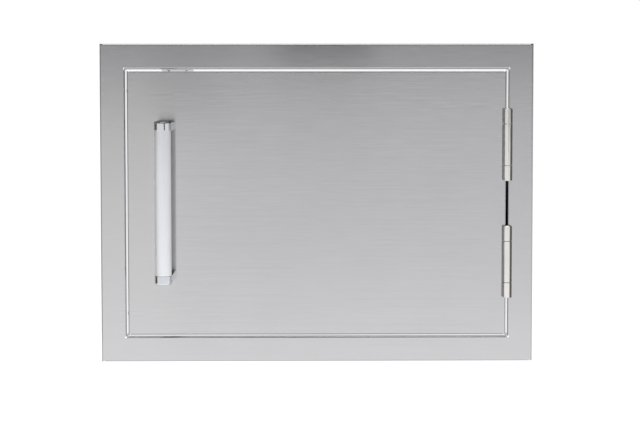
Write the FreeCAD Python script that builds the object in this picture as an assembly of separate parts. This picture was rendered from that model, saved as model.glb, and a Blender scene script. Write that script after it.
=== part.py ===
import FreeCAD, Part
import math
import os
from FreeCAD import Vector

# Access door for an outdoor kitchen island: a stainless frame that drops into a
# rectangular hole in the island's wall, and a double-skinned door hinged on its right.
# Millimetres. +X is right, +Y goes into the island, +Z is up.
# The origin is the centre of the hole, in the plane of the wall's outer surface.

# Frame. Its flange laps over the wall by the same amount on every side of the hole, and
# the sleeve is smaller than the hole by a clearance at each side and at the top and bottom
flange_width = 673.1
flange_height = 495.3
flange_lap = 31.75
side_clearance = 5.7
end_clearance = 6.2
flange_depth = 12.7
sleeve_depth = 38.0
lip_width = 9.0
frame_sheet = 1.5
bend_inside = 1.0
frame_corner_notch = 2.0
frame_corner_relief = 0.5

# Screw holes through the sleeve, into the island's framing
mounting_hole_diameter = 5.2
mounting_hole_from_end = 7.0
side_hole_spacing = 350.0
end_hole_spacing = 300.0

# Door
door_depth = 20.0
door_sheet = 1.2
door_corner_notch = 1.2
liner_sheet = 0.9
liner_flange = 14.0
liner_clearance = 0.1

# Handle
handle_length = 250.0
handle_rise = 3.5
handle_from_edge = 58.7
handle_standoff = 55.0
tube_diameter = 25.4
tube_wall = 1.5
cap_length = 14.0
cap_proud = 0.4
cap_rounding = 3.0
cap_seam_rounding = 0.5
spigot_length = 18.0
spigot_clearance = 0.1
handle_screw_diameter = 6.0
handle_screw_grip = 14.0
handle_head_diameter = 10.5
handle_head_height = 4.0
handle_socket_diameter = 4.0
handle_socket_depth = 2.0
washer_diameter = 14.0
washer_thickness = 1.6
stiffener_width = 60.0
stiffener_end_gap = 12.0
stiffener_sheet = 1.5
stiffener_clearance = 0.3

# Hinges
hinge_length = 111.5
hinge_spacing = 182.4
end_knuckle = 23.2
knuckle_gap = 0.5
knuckle_chamfer = 0.4
pin_diameter = 9.0
pin_clearance = 0.05
pin_end = 0.6
knuckle_wall = 2.6
leaf_thickness = 1.25
leaf_gap = 0.5
leaf_setback = 1.0
axis_proud = 7.5
leaf_clearance = 0.6
hinge_screws = 4
hinge_screw_margin = 12.0
hinge_screw_diameter = 4.0
hinge_head_diameter = 6.4
hinge_slot_length = 5.0
hinge_slot_width = 1.0
hinge_slot_depth = 1.0
backing_thickness = 2.5
backing_setback = 0.4
hinge_bar_thickness = 3.0
hinge_bar_width = 12.0

# Angle behind the door's hinge edge, which stiffens the sleeve between the hinges
angle_setback = 1.0
angle_leg = 14.0
angle_inward = 16.0
angle_sheet = 1.5
angle_clearance = 1.5
rivet_diameter = 4.0
rivet_head_diameter = 7.5
rivet_crown_diameter = 5.0
rivet_head_height = 1.2
rivet_tail_diameter = 6.0
rivet_tail_height = 1.8
angle_rivets = 3
angle_rivet_margin = 16.0

# Magnetic catch in the upper left corner
catch_from_side = 80.0
catch_length = 50.0
catch_body_length = 32.0
catch_body_height = 14.0
catch_body_depth = 11.6
catch_ear_thickness = 3.0
catch_drop = 10.0
catch_bracket_sheet = 1.5
catch_bracket_reach = 13.0
pole_length = 28.0
pole_depth = 9.0
pole_thickness = 1.2
pole_proud = 0.8
magnet_thickness = 4.0
pocket_clearance = 0.1
catch_gap = 0.3
strike_margin = 1.2
strike_height = 12.0
strike_thickness = 1.5
strike_rivet_gap = 0.5
bracket_screw_pitch = 30.0
small_screw_diameter = 3.0
small_head_diameter = 5.6
small_crown_diameter = 3.8
small_head_height = 2.0
small_screw_tip = 1.2

# Holes are this much larger than what goes through them, all round
hole_clearance = 0.05
sheet_hole_clearance = 0.1

# How far a cutting shape runs past the faces that it cuts
cut_past = 1.0

# Points closer than this are one point, and edges closer than this share a plane
same_point = 1e-6
same_plane = 0.01

# Planes and half sizes that follow from the sizes above
face_y = -flange_depth
sleeve_end_y = face_y + sleeve_depth
opening_half_width = flange_width / 2 - flange_lap - side_clearance - frame_sheet
opening_half_height = flange_height / 2 - flange_lap - end_clearance - frame_sheet
door_gap = 2 * leaf_thickness + leaf_gap
door_half_width = opening_half_width - door_gap
door_half_height = opening_half_height - door_gap
door_back_y = face_y + door_depth
liner_half_width = door_half_width - door_sheet - liner_clearance
liner_half_height = door_half_height - door_sheet - liner_clearance
frame_bend = bend_inside + frame_sheet

# The hinge pins stand in front of the gap, centred over it
barrel_radius = pin_diameter / 2 + pin_clearance + knuckle_wall
axis_x = opening_half_width - door_gap / 2
axis_y = face_y - axis_proud
leaf_front_y = axis_y + barrel_radius + leaf_clearance
leaf_back_y = door_back_y - leaf_setback
hinge_centres = [-hinge_spacing / 2, hinge_spacing / 2]
hinge_screw_y = (leaf_front_y + leaf_back_y) / 2
backing_width = 2 * (hinge_screw_y - face_y - frame_bend - backing_setback)
hinge_screw_pitch = (hinge_length - 2 * hinge_screw_margin) / (hinge_screws - 1)

# The angle runs from the top of the upper hinge to the bottom of the lower one
angle_length = hinge_spacing + hinge_length - 2 * angle_setback
angle_front_y = door_back_y + angle_clearance
angle_rivet_y = angle_front_y + (angle_leg + angle_sheet) / 2
angle_rivet_pitch = (angle_length - 2 * angle_rivet_margin) / (angle_rivets - 1)

# Handle places
handle_x = -door_half_width + handle_from_edge
handle_y = face_y - handle_standoff
grip_half_length = handle_length / 2 - cap_length
cap_centre = handle_length / 2 - cap_length / 2
bracket_heights = [handle_rise - cap_centre, handle_rise + cap_centre]
stiffener_height = 2 * (liner_half_height - liner_sheet - stiffener_end_gap)

# Catch places
catch_x = -opening_half_width + catch_from_side
catch_z = door_half_height - catch_drop
strike_face_y = door_back_y + strike_thickness
catch_front_y = strike_face_y + catch_gap + pole_proud
catch_back_y = catch_front_y + catch_body_depth
bracket_back_y = catch_back_y + catch_bracket_sheet
bracket_screw_y = bracket_back_y - catch_bracket_reach / 2
pole_stack = magnet_thickness + 2 * pole_thickness
catch_screw_pitch = (catch_length + catch_body_length) / 2
strike_rivet_pitch = catch_body_length + rivet_head_diameter + 2 * strike_rivet_gap
strike_length = strike_rivet_pitch + rivet_head_diameter + 2 * strike_margin


def block(x, y, z):
    """Box from three (low, high) pairs."""
    size = [high - low for low, high in (x, y, z)]
    return Part.makeBox(*size, Vector(x[0], y[0], z[0]))


def rod(radius, start, end):
    """Round bar between two points."""
    line = Vector(*end) - Vector(*start)
    return Part.makeCylinder(radius, line.Length, Vector(*start), line)


def cone(start_radius, end_radius, start, end):
    """Tapered round bar between two points."""
    line = Vector(*end) - Vector(*start)
    return Part.makeCone(start_radius, end_radius, line.Length, Vector(*start), line)


def drills_along_x(radius, x_range, y, heights):
    """Drills that run to the right through a wall, one at each height."""
    return [rod(radius, (x_range[0], y, z), (x_range[1], y, z)) for z in heights]


def drills_along_y(radius, x_places, y_range, z):
    """Drills that run into the island, one at each place along X."""
    return [rod(radius, (x, y_range[0], z), (x, y_range[1], z)) for x in x_places]


def drills_along_z(radius, x_places, y, z_range):
    """Upright drills, one at each place along X."""
    return [rod(radius, (x, y, z_range[0]), (x, y, z_range[1])) for x in x_places]


def joined(shapes):
    """One clean shape from pieces that touch or overlap."""
    return shapes[0].fuse(shapes[1:]).removeSplitter()


def spread(count, pitch):
    """Places of count things, pitch apart and evenly about zero."""
    return [(number - (count - 1) / 2) * pitch for number in range(count)]


def turned(shape, degrees):
    """Shape turned about the Y axis, which takes a top side to the right at 90 degrees."""
    turned_shape = shape.copy()
    turned_shape.rotate(Vector(0, 0, 0), Vector(0, 1, 0), degrees)
    return turned_shape


def straight(start, end):
    """Line between two points, or nothing where they meet."""
    return [Part.makeLine(start, end)] if start.distanceToPoint(end) > same_point else []


def rounded_path(points, radius):
    """Edges along a path in the YZ plane whose corners are rounded."""
    corners = [Vector(0, y, z) for y, z in points]
    edges = []
    start = corners[0]
    for before, corner, after in zip(corners, corners[1:], corners[2:]):
        towards = (corner - before).normalize()
        away = (after - corner).normalize()
        turn = towards.getAngle(away)
        reach = radius * math.tan(turn / 2)
        arc_start = corner - towards * reach
        arc_end = corner + away * reach
        to_centre = (away - towards).normalize()
        centre = corner + to_centre * (radius / math.cos(turn / 2))
        middle = centre - to_centre * radius
        edges += straight(start, arc_start)
        edges.append(Part.Arc(arc_start, middle, arc_end).toShape())
        start = arc_end
    return edges + straight(start, corners[-1])


def shifted_left(points, distance):
    """The same path moved to its left by the sheet's thickness."""
    steps = [(b[0] - a[0], b[1] - a[1]) for a, b in zip(points, points[1:])]
    normals = [(-z / math.hypot(y, z), y / math.hypot(y, z)) for y, z in steps]
    before = [normals[0]] + normals
    after = normals + [normals[-1]]
    moved = []
    for (y, z), first, second in zip(points, before, after):
        scale = distance / (1 + first[0] * second[0] + first[1] * second[1])
        moved.append((y + scale * (first[0] + second[0]), z + scale * (first[1] + second[1])))
    return moved


def bent_sheet(points, thickness, length):
    """Folded sheet of a given length along X. Its points are (y, z) along the outside
    of the folds, with the metal on the left of the path."""
    outside = rounded_path(points, bend_inside + thickness)
    inner_points = shifted_left(points, thickness)
    inside = rounded_path(inner_points, bend_inside)
    first, last = points[0], points[-1]
    ends = [
        Part.makeLine(Vector(0, *first), Vector(0, *inner_points[0])),
        Part.makeLine(Vector(0, *last), Vector(0, *inner_points[-1])),
    ]
    outline = Part.Wire(Part.__sortEdges__(outside + inside + ends))
    section = Part.Face(outline)
    section.translate(Vector(-length / 2, 0, 0))
    return section.extrude(Vector(length, 0, 0))


def pan(half_width, half_height, depth, thickness, notch):
    """Flat sheet with four sides folded back along +Y, its face in the plane y = 0.
    The upright sides run the full height and the other two stop at a corner notch."""
    bend = bend_inside + thickness
    sheet = block(
        (-half_width + bend, half_width - bend),
        (0, thickness),
        (-half_height + bend, half_height - bend),
    )
    pieces = [sheet]
    for turn, half_size, length in (
        (0, half_height, 2 * (half_width - bend - notch)),
        (90, half_width, 2 * half_height),
        (180, half_height, 2 * (half_width - bend - notch)),
        (270, half_width, 2 * half_height),
    ):
        side = [(depth, half_size), (0, half_size), (0, half_size - bend)]
        pieces.append(turned(bent_sheet(side, thickness, length), turn))
    return joined(pieces)


# Places along X of the catch's screws and of the strike plate's rivets
catch_screw_places = [catch_x + x for x in spread(2, catch_screw_pitch)]
bracket_screw_places = [catch_x + x for x in spread(2, bracket_screw_pitch)]
strike_rivet_places = [catch_x + x for x in spread(2, strike_rivet_pitch)]


def frame_side(half_outside, half_opening, outside_length, opening_length):
    """The top side of the frame: lip, return and outer fold, then inner fold and sleeve."""
    outer = [
        (0, half_outside - lip_width),
        (0, half_outside),
        (face_y, half_outside),
        (face_y, half_outside - frame_bend),
    ]
    inner = [
        (face_y, half_opening + frame_bend),
        (face_y, half_opening),
        (sleeve_end_y, half_opening),
    ]
    return [
        bent_sheet(outer, frame_sheet, outside_length),
        bent_sheet(inner, frame_sheet, opening_length),
    ]


def mounting_holes():
    """Drills for the two screw holes in each wall of the sleeve."""
    radius = mounting_hole_diameter / 2
    y = sleeve_end_y - mounting_hole_from_end
    drills = []
    for side in (-1, 1):
        walls = []
        for half_size in (opening_half_width, opening_half_height):
            faces = (side * (half_size - cut_past), side * (half_size + frame_sheet + cut_past))
            walls.append(sorted(faces))
        drills += drills_along_x(radius, walls[0], y, spread(2, side_hole_spacing))
        drills += drills_along_z(radius, spread(2, end_hole_spacing), y, walls[1])
    return drills


def corner_block(half_width, half_height, x_side, z_side, reach, y_range):
    """Square block at one corner of the opening, from the inner corner outwards by reach."""
    x = sorted((x_side * half_width, x_side * (half_width + reach)))
    z = sorted((z_side * half_height, z_side * (half_height + reach)))
    return block(x, y_range, z)


def frame_ring():
    """Flat front of the frame between its outer and inner folds."""
    ring_half_width = flange_width / 2 - frame_bend
    ring_half_height = flange_height / 2 - frame_bend
    window_half_width = opening_half_width + frame_bend
    window_half_height = opening_half_height + frame_bend
    ring = block(
        (-ring_half_width, ring_half_width),
        (face_y, face_y + frame_sheet),
        (-ring_half_height, ring_half_height),
    )
    window = block(
        (-window_half_width, window_half_width),
        (face_y - cut_past, face_y + frame_sheet + cut_past),
        (-window_half_height, window_half_height),
    )
    return ring.cut(window)


def folded_frame():
    """The frame before drilling. Each inner corner is welded behind a relief notch."""
    short_length = flange_width - 2 * (frame_bend + frame_corner_notch)
    pieces = [frame_ring()]
    for turn, half_outside, half_opening, outside_length, opening_length in (
        (0, flange_height / 2, opening_half_height, short_length, 2 * opening_half_width),
        (90, flange_width / 2, opening_half_width, flange_height, 2 * opening_half_height),
        (180, flange_height / 2, opening_half_height, short_length, 2 * opening_half_width),
        (270, flange_width / 2, opening_half_width, flange_height, 2 * opening_half_height),
    ):
        for strip in frame_side(half_outside, half_opening, outside_length, opening_length):
            pieces.append(turned(strip, turn))
    weld_start = face_y + frame_bend + frame_corner_notch
    notch_half_width = opening_half_width - frame_corner_relief
    notch_half_height = opening_half_height - frame_corner_relief
    notch_reach = frame_corner_relief + frame_bend
    notches = []
    for x_side in (-1, 1):
        for z_side in (-1, 1):
            pieces.append(corner_block(
                opening_half_width, opening_half_height, x_side, z_side,
                frame_sheet, (weld_start, sleeve_end_y),
            ))
            notches.append(corner_block(
                notch_half_width, notch_half_height, x_side, z_side,
                notch_reach, (face_y - cut_past, weld_start),
            ))
    return joined(pieces).cut(notches)


def make_frame():
    """Face ring, outer returns with their rear lips, and the sleeve, folded from one sheet."""
    wall = (opening_half_width - cut_past, opening_half_width + frame_sheet + cut_past)
    screw_radius = hinge_screw_diameter / 2 + sheet_hole_clearance
    rivet_radius = rivet_diameter / 2 + hole_clearance
    rivet_heights = spread(angle_rivets, angle_rivet_pitch)
    small_radius = small_screw_diameter / 2 + hole_clearance
    roof = (opening_half_height - cut_past, opening_half_height + frame_sheet + cut_past)
    drills = mounting_holes()
    for centre in hinge_centres:
        drills += hinge_drills(centre, wall, screw_radius)
    drills += drills_along_x(rivet_radius, wall, angle_rivet_y, rivet_heights)
    drills += drills_along_z(small_radius, bracket_screw_places, bracket_screw_y, roof)
    return folded_frame().cut(drills)


# Hinges

def hinge_drills(centre, x_range, radius):
    """Drills for one leaf's row of screws."""
    heights = [centre + z for z in spread(hinge_screws, hinge_screw_pitch)]
    return drills_along_x(radius, x_range, hinge_screw_y, heights)


def barrel(centre, low, high):
    """Chamfered stretch of the hinge's barrel between two heights measured from its centre."""
    bottom = (axis_x, axis_y, centre + low)
    top = (axis_x, axis_y, centre + high)
    shoulder_low = (axis_x, axis_y, centre + low + knuckle_chamfer)
    shoulder_high = (axis_x, axis_y, centre + high - knuckle_chamfer)
    end_radius = barrel_radius - knuckle_chamfer
    return joined([
        rod(barrel_radius, shoulder_low, shoulder_high),
        cone(end_radius, barrel_radius, bottom, shoulder_low),
        cone(end_radius, barrel_radius, top, shoulder_high),
    ])


def countersunk(centre, face_x, inward, clearance):
    """Screw heads or their seats: cones whose wide end lies in a leaf's face."""
    head = hinge_head_diameter / 2 + clearance
    neck = hinge_screw_diameter / 2 + clearance
    y = hinge_screw_y
    cones = []
    for step in spread(hinge_screws, hinge_screw_pitch):
        z = centre + step
        depth = face_x + inward * (head - neck)
        cones.append(cone(head, neck, (face_x, y, z), (depth, y, z)))
    return cones


def finished_leaf(centre, body, face_x, inward):
    """Bore and countersunk holes cut into a leaf."""
    half = hinge_length / 2
    bore = rod(
        pin_diameter / 2 + pin_clearance,
        (axis_x, axis_y, centre - half - cut_past),
        (axis_x, axis_y, centre + half + cut_past),
    )
    back_x = face_x + inward * leaf_thickness
    through = sorted((face_x - inward * cut_past, back_x + inward * cut_past))
    drills = hinge_drills(centre, through, hinge_screw_diameter / 2 + hole_clearance)
    return body.cut([bore] + drills + countersunk(centre, face_x, inward, hole_clearance))


def make_frame_leaf(centre):
    """Leaf on the sleeve's wall, with the two end knuckles."""
    half = hinge_length / 2
    inner = half - end_knuckle
    plate = block(
        (opening_half_width - leaf_thickness, opening_half_width),
        (axis_y, leaf_back_y),
        (centre - half, centre + half),
    )
    room = block(
        (opening_half_width - leaf_thickness - cut_past, opening_half_width + cut_past),
        (axis_y - cut_past, leaf_front_y),
        (centre - inner, centre + inner),
    )
    knuckles = [barrel(centre, inner, half), barrel(centre, -half, -inner)]
    body = joined([plate.cut(room)] + knuckles)
    return finished_leaf(centre, body, opening_half_width - leaf_thickness, 1)


def make_door_leaf(centre):
    """Leaf on the door's edge, with the middle knuckle."""
    half = hinge_length / 2
    middle = half - end_knuckle - knuckle_gap
    x = (door_half_width, door_half_width + leaf_thickness)
    plate = block(x, (axis_y, leaf_back_y), (centre - half, centre + half))
    notches = []
    for low, high in ((middle, half), (-half, -middle)):
        notches.append(block(
            (x[0] - cut_past, x[1] + cut_past),
            (axis_y - cut_past, leaf_front_y),
            (centre + low, centre + high),
        ))
    body = joined([plate.cut(notches), barrel(centre, -middle, middle)])
    return finished_leaf(centre, body, x[1], -1)


def make_pin(centre):
    """Hinge pin whose chamfered ends stand just out of the barrel."""
    radius = pin_diameter / 2
    half = hinge_length / 2
    pin = rod(radius, (axis_x, axis_y, centre - half), (axis_x, axis_y, centre + half))
    ends = []
    for side in (-1, 1):
        start = (axis_x, axis_y, centre + side * half)
        end = (axis_x, axis_y, centre + side * (half + pin_end))
        ends.append(cone(radius, radius - pin_end, start, end))
    return joined([pin] + ends)


def make_hinge_screws(centre, face_x, inward, length):
    """Row of countersunk screws as separate solids."""
    radius = hinge_screw_diameter / 2
    y = hinge_screw_y
    heads = countersunk(centre, face_x, inward, 0)
    screws = []
    for head, step in zip(heads, spread(hinge_screws, hinge_screw_pitch)):
        z = centre + step
        shank = rod(radius, (face_x, y, z), (face_x + inward * length, y, z))
        slot = block(
            sorted((face_x, face_x + inward * hinge_slot_depth)),
            (y - hinge_slot_length / 2, y + hinge_slot_length / 2),
            (z - hinge_slot_width / 2, z + hinge_slot_width / 2),
        )
        screws.append(joined([head, shank]).cut(slot))
    return Part.makeCompound(screws)


def make_backing_plate(centre):
    """Tapped plate outside the sleeve, behind the frame's leaf."""
    inner = opening_half_width + frame_sheet
    outer = inner + backing_thickness
    half = hinge_length / 2
    y = (hinge_screw_y - backing_width / 2, hinge_screw_y + backing_width / 2)
    plate = block((inner, outer), y, (centre - half, centre + half))
    through = (inner - cut_past, outer + cut_past)
    return plate.cut(hinge_drills(centre, through, hinge_screw_diameter / 2 + hole_clearance))


def make_hinge_bar():
    """Tapped bar inside the door, behind both of its hinge leaves."""
    outer = liner_half_width - liner_sheet
    inner = outer - hinge_bar_thickness
    reach = (hinge_spacing + hinge_length) / 2
    y = (hinge_screw_y - hinge_bar_width / 2, hinge_screw_y + hinge_bar_width / 2)
    bar = block((inner, outer), y, (-reach, reach))
    through = (inner - cut_past, outer + cut_past)
    for centre in hinge_centres:
        bar = bar.cut(hinge_drills(centre, through, hinge_screw_diameter / 2 + hole_clearance))
    return bar


# Angle between the hinges

def make_hinge_angle():
    """Angle riveted to the sleeve, with one leg turned in behind the door's edge."""
    path = [
        (angle_front_y + angle_leg, opening_half_width),
        (angle_front_y, opening_half_width),
        (angle_front_y, opening_half_width - angle_inward),
    ]
    angle = turned(bent_sheet(path, angle_sheet, angle_length), 90)
    leg = (opening_half_width - angle_sheet - cut_past, opening_half_width + cut_past)
    radius = rivet_diameter / 2 + hole_clearance
    heights = spread(angle_rivets, angle_rivet_pitch)
    return angle.cut(drills_along_x(radius, leg, angle_rivet_y, heights))


def rivet(head_point, direction, grip):
    """Blind rivet: domed head, shank through the sheets and a set tail."""
    line = Vector(*direction)
    seat = Vector(*head_point)
    head = Part.makeCone(
        rivet_head_diameter / 2, rivet_crown_diameter / 2, rivet_head_height, seat, -line)
    shank = Part.makeCylinder(rivet_diameter / 2, grip, seat, line)
    tail = Part.makeCylinder(rivet_tail_diameter / 2, rivet_tail_height, seat + line * grip, line)
    return joined([head, shank, tail])


def make_angle_rivets():
    """Rivets through the angle and the sleeve's wall."""
    x = opening_half_width - angle_sheet
    grip = angle_sheet + frame_sheet
    heights = spread(angle_rivets, angle_rivet_pitch)
    return Part.makeCompound([rivet((x, angle_rivet_y, z), (1, 0, 0), grip) for z in heights])


# Door

def handle_drills(y_low, y_high, radius):
    """Drills for the two handle screws, along Y."""
    return [rod(radius, (handle_x, y_low, z), (handle_x, y_high, z)) for z in bracket_heights]


def make_door_skin():
    """Outer pan of the door."""
    skin = pan(door_half_width, door_half_height, door_depth, door_sheet, door_corner_notch)
    skin.translate(Vector(0, face_y, 0))
    handle_radius = handle_screw_diameter / 2 + hole_clearance
    drills = handle_drills(face_y - cut_past, face_y + door_sheet + cut_past, handle_radius)
    edge = (door_half_width - door_sheet - cut_past, door_half_width + cut_past)
    for centre in hinge_centres:
        drills += hinge_drills(centre, edge, hinge_screw_diameter / 2 + sheet_hole_clearance)
    return skin.cut(drills)


def make_door_liner():
    """Inner pan that closes the door's back, its sides turned forward inside the skin's."""
    liner = pan(liner_half_width, liner_half_height, liner_flange, liner_sheet, door_corner_notch)
    liner.rotate(Vector(0, 0, 0), Vector(0, 0, 1), 180)
    liner.translate(Vector(0, door_back_y, 0))
    rivet_radius = rivet_diameter / 2 + hole_clearance
    back = (door_back_y - liner_sheet - cut_past, door_back_y + cut_past)
    drills = drills_along_y(rivet_radius, strike_rivet_places, back, catch_z)
    edge = (liner_half_width - liner_sheet - cut_past, liner_half_width + cut_past)
    for centre in hinge_centres:
        drills += hinge_drills(centre, edge, hinge_screw_diameter / 2 + sheet_hole_clearance)
    return liner.cut(drills)


def make_handle_stiffener():
    """Channel behind the skin that spreads the pull of the handle."""
    front = face_y + door_sheet
    back = door_back_y - liner_sheet - stiffener_clearance
    half = stiffener_width / 2
    path = [(back, half), (front, half), (front, -half), (back, -half)]
    channel = turned(bent_sheet(path, stiffener_sheet, stiffener_height), 90)
    channel.translate(Vector(handle_x, 0, 0))
    radius = handle_screw_diameter / 2 + hole_clearance
    return channel.cut(handle_drills(front - cut_past, front + stiffener_sheet + cut_past, radius))


def make_strike_plate():
    """Steel plate on the door's back that the magnet pulls on."""
    plate = block(
        (catch_x - strike_length / 2, catch_x + strike_length / 2),
        (door_back_y, strike_face_y),
        (catch_z - strike_height / 2, catch_z + strike_height / 2),
    )
    radius = rivet_diameter / 2 + hole_clearance
    through = (door_back_y - cut_past, strike_face_y + cut_past)
    return plate.cut(drills_along_y(radius, strike_rivet_places, through, catch_z))


def make_strike_rivets():
    """Rivets through the strike plate and the liner."""
    grip = strike_thickness + liner_sheet
    heads = [(x, strike_face_y, catch_z) for x in strike_rivet_places]
    return Part.makeCompound([rivet(head, (0, -1, 0), grip) for head in heads])


# Handle

def make_handle_tube():
    """Plain round tube between the two brackets."""
    start = (handle_x, handle_y, handle_rise - grip_half_length)
    end = (handle_x, handle_y, handle_rise + grip_half_length)
    outside = rod(tube_diameter / 2, start, end)
    return outside.cut(rod(tube_diameter / 2 - tube_wall, start, end))


def rim(body, height):
    """Edges in one level plane, apart from the one that lies against the door."""
    level = [edge for edge in body.Edges if edge.BoundBox.ZLength < same_plane]
    return [edge for edge in level
            if abs(edge.BoundBox.ZMin - height) < same_plane
            and edge.BoundBox.YMin < face_y - same_plane]


def make_handle_bracket(side):
    """Cast bracket: a cap over the tube's end that runs back to the door, with a spigot
    inside the tube. Side is 1 for the upper one and -1 for the lower one."""
    radius = tube_diameter / 2 + cap_proud
    seam = handle_rise + side * grip_half_length
    end = handle_rise + side * handle_length / 2
    low, high = sorted((seam, end))
    round_front = rod(radius, (handle_x, handle_y, low), (handle_x, handle_y, high))
    arm = block((handle_x - radius, handle_x + radius), (handle_y, face_y), (low, high))
    body = joined([round_front, arm])
    body = body.makeFillet(cap_rounding, rim(body, end))
    body = body.makeFillet(cap_seam_rounding, rim(body, seam))
    spigot_radius = tube_diameter / 2 - tube_wall - spigot_clearance
    spigot_end = (handle_x, handle_y, seam - side * spigot_length)
    spigot = rod(spigot_radius, (handle_x, handle_y, seam), spigot_end)
    body = joined([body, spigot])
    height = handle_rise + side * cap_centre
    tapped = rod(
        handle_screw_diameter / 2 + hole_clearance,
        (handle_x, face_y + cut_past, height),
        (handle_x, face_y - handle_screw_grip - cut_past, height),
    )
    return body.cut(tapped)


def make_handle_washers():
    """Washers under the handle screws' heads, inside the door."""
    front = face_y + door_sheet + stiffener_sheet
    back = front + washer_thickness
    hole_radius = handle_screw_diameter / 2 + hole_clearance
    discs = handle_drills(front, back, washer_diameter / 2)
    holes = handle_drills(front - cut_past, back + cut_past, hole_radius)
    return Part.makeCompound([disc.cut(hole) for disc, hole in zip(discs, holes)])


def make_handle_screws():
    """Screws from inside the door into the brackets."""
    seat = face_y + door_sheet + stiffener_sheet + washer_thickness
    top = seat + handle_head_height
    heads = handle_drills(seat, top, handle_head_diameter / 2)
    shanks = handle_drills(face_y - handle_screw_grip, seat, handle_screw_diameter / 2)
    sockets = handle_drills(top - handle_socket_depth, top + cut_past, handle_socket_diameter / 2)
    screws = []
    for head, shank, socket in zip(heads, shanks, sockets):
        screws.append(joined([head, shank]).cut(socket))
    return Part.makeCompound(screws)


# Magnetic catch

def make_catch_bracket():
    """Square-cornered angle under the sleeve's top wall that carries the catch."""
    low = catch_z - catch_body_height / 2
    x = (catch_x - catch_length / 2, catch_x + catch_length / 2)
    upright = block(x, (catch_back_y, bracket_back_y), (low, opening_half_height))
    shelf = block(
        x,
        (bracket_back_y - catch_bracket_reach, bracket_back_y),
        (opening_half_height - catch_bracket_sheet, opening_half_height),
    )
    bracket = joined([upright, shelf])
    radius = small_screw_diameter / 2 + hole_clearance
    back = (catch_back_y - cut_past, bracket_back_y + cut_past)
    roof = (opening_half_height - catch_bracket_sheet - cut_past, opening_half_height + cut_past)
    drills = drills_along_y(radius, catch_screw_places, back, catch_z)
    drills += drills_along_z(radius, bracket_screw_places, bracket_screw_y, roof)
    return bracket.cut(drills)


def make_catch_housing():
    """Moulded case with an ear at each end and a pocket for the magnet."""
    height = (catch_z - catch_body_height / 2, catch_z + catch_body_height / 2)
    half_body = catch_body_length / 2
    half_length = catch_length / 2
    body = block((catch_x - half_body, catch_x + half_body), (catch_front_y, catch_back_y), height)
    ears = block(
        (catch_x - half_length, catch_x + half_length),
        (catch_back_y - catch_ear_thickness, catch_back_y),
        height,
    )
    half_pole = pole_length / 2 + pocket_clearance
    half_stack = pole_stack / 2 + pocket_clearance
    pocket = block(
        (catch_x - half_pole, catch_x + half_pole),
        (catch_front_y - pole_proud, catch_front_y - pole_proud + pole_depth + pocket_clearance),
        (catch_z - half_stack, catch_z + half_stack),
    )
    case = joined([body, ears])
    radius = small_screw_diameter / 2 + hole_clearance
    through = (catch_back_y - catch_ear_thickness - cut_past, catch_back_y + cut_past)
    return case.cut([pocket] + drills_along_y(radius, catch_screw_places, through, catch_z))


def make_catch_poles():
    """Steel pole plates above and below the magnet, as separate solids."""
    y = (catch_front_y - pole_proud, catch_front_y - pole_proud + pole_depth)
    x = (catch_x - pole_length / 2, catch_x + pole_length / 2)
    half_stack = pole_stack / 2
    upper = block(x, y, (catch_z + half_stack - pole_thickness, catch_z + half_stack))
    lower = block(x, y, (catch_z - half_stack, catch_z - half_stack + pole_thickness))
    return Part.makeCompound([upper, lower])


def make_catch_magnet():
    """Magnet between the pole plates, set back from their edges."""
    return block(
        (catch_x - pole_length / 2, catch_x + pole_length / 2),
        (catch_front_y, catch_front_y - pole_proud + pole_depth),
        (catch_z - magnet_thickness / 2, catch_z + magnet_thickness / 2),
    )


def small_screw(seat, direction, grip):
    """Pan-head screw whose head sits on seat and whose shank runs along direction."""
    line = Vector(*direction)
    start = Vector(*seat)
    head = Part.makeCone(
        small_head_diameter / 2, small_crown_diameter / 2, small_head_height, start, -line)
    shank = Part.makeCylinder(small_screw_diameter / 2, grip + small_screw_tip, start, line)
    return joined([head, shank])


def make_catch_screws():
    """Screws that hold the catch to its bracket."""
    seat_y = catch_back_y - catch_ear_thickness
    grip = catch_ear_thickness + catch_bracket_sheet
    seats = [(x, seat_y, catch_z) for x in catch_screw_places]
    return Part.makeCompound([small_screw(seat, (0, 1, 0), grip) for seat in seats])


def make_bracket_screws():
    """Screws that hold the catch's bracket to the sleeve."""
    seat_z = opening_half_height - catch_bracket_sheet
    grip = catch_bracket_sheet + frame_sheet
    seats = [(x, bracket_screw_y, seat_z) for x in bracket_screw_places]
    return Part.makeCompound([small_screw(seat, (0, 0, 1), grip) for seat in seats])


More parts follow.
